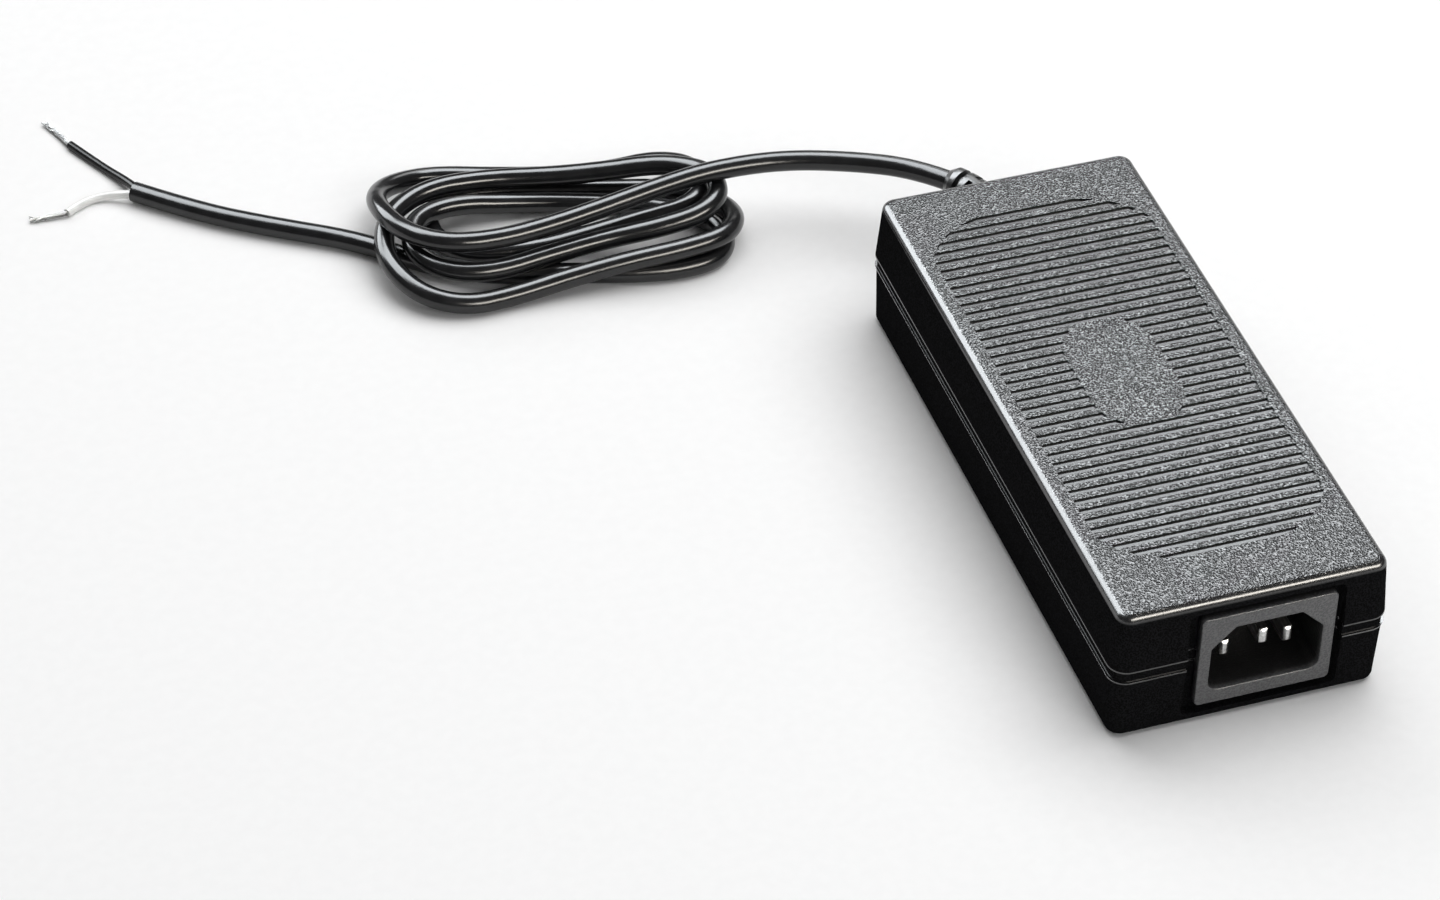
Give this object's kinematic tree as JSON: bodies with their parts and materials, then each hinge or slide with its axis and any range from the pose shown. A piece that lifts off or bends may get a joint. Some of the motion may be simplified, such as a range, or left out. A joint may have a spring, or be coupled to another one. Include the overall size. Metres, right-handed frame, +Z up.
{
  "type": "power supply",
  "caption": "Enclosed desktop AC-to-DC power supply with a grooved top, a recessed three-pin mains inlet at one end and a coiled, bare-ended two-core output lead at the other.",
  "frame": {"origin": "on the table under the middle of the case, without the lead", "axes": "+X across the case, +Y along it from the mains inlet towards the output lead, +Z up"},
  "size_m": [0.2335, 0.2667, 0.0331],
  "materials": {
    "case_plastic": "fine spark-eroded texture",
    "inlet_plastic": "fine matt texture",
    "soft_rubber": "satin",
    "plated_pin": "nickel-plated",
    "lead_jacket": "glossy flexible jacket",
    "black_insulation": "satin insulation",
    "white_insulation": "satin insulation",
    "green_insulation": "satin insulation",
    "tinned_copper": "tinned strands",
    "board_laminate": "paper laminate",
    "plated_steel": "zinc-plated",
    "clear_film": "thin insulating film",
    "black_package": "moulded epoxy",
    "grey_box": "moulded box",
    "blue_coating": "dipped coating",
    "green_ferrite": "coated ring core",
    "yellow_ferrite": "coated ring core",
    "grey_ferrite": "sintered ferrite",
    "enamelled_copper": "enamelled wire",
    "yellow_tape": "wrapped tape",
    "capacitor_sleeve": "shrunk sleeve",
    "sheet_aluminium": "plain sheet"
  },
  "bodies": {
    "root": {"top_case": "case_plastic", "bottom_case": "case_plastic", "rubber_feet": "soft_rubber", "inlet_body": "inlet_plastic", "line_pin": "plated_pin", "earth_pin": "plated_pin", "neutral_pin": "plated_pin", "strain_relief": "soft_rubber", "output_coil": "lead_jacket", "output_lead": "lead_jacket", "output_tail": "lead_jacket", "black_core": "black_insulation", "white_core": "white_insulation", "black_strands": "tinned_copper", "white_strands": "tinned_copper", "main_board": "board_laminate", "board_screws": "plated_steel", "insulation_sheet": "clear_film", "fuse": "black_package", "x_capacitor": "grey_box", "bridge_rectifier": "black_package", "control_chip": "black_package", "optocoupler": "white_insulation", "varistor": "blue_coating", "y_capacitors": "blue_coating", "line_choke_core": "green_ferrite", "line_choke_windings": "enamelled_copper", "output_choke_core": "yellow_ferrite", "output_choke_windings": "enamelled_copper", "boost_choke_core": "grey_ferrite", "boost_choke_bobbin": "black_package", "boost_choke_winding": "enamelled_copper", "transformer_core": "grey_ferrite", "transformer_bobbin": "black_package", "transformer_winding": "yellow_tape", "bulk_capacitor": "capacitor_sleeve", "output_capacitors": "capacitor_sleeve", "primary_heatsink": "sheet_aluminium", "power_transistors": "black_package", "secondary_heatsink": "sheet_aluminium", "output_rectifier": "black_package", "inlet_line_wire": "black_insulation", "inlet_earth_wire": "green_insulation", "inlet_neutral_wire": "white_insulation", "output_wire_black": "black_insulation", "output_wire_white": "white_insulation"}
  },
  "joints": []
}
